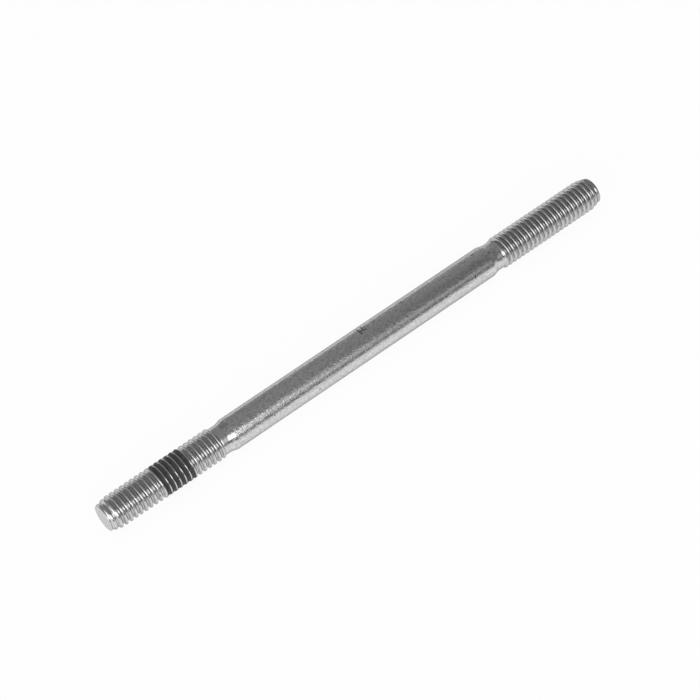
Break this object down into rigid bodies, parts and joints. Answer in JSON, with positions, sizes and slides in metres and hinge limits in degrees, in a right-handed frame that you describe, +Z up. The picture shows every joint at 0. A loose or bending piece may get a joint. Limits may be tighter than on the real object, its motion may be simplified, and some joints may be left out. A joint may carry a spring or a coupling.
{
  "type": "cylinder stud",
  "caption": "Long plain steel stud with a rolled thread at each end beyond a waisted neck, chamfered tips and a dark band of dry locking compound in one thread.",
  "frame": {"origin": "on the stud's axis, halfway between the two tip faces", "axes": "+X along the stud from the crankcase end (thread with the locking compound) to the nut end; +Z up as it lies; it is round about X"},
  "size_m": [0.1064, 0.0058, 0.0058],
  "materials": {
    "zinc_steel": "dull zinc-plated steel with faint lengthwise streaks and shinier rolled threads",
    "locking_compound": "matte dried compound"
  },
  "bodies": {
    "root": {"stud": "zinc_steel", "locking_compound": "locking_compound"}
  },
  "joints": []
}
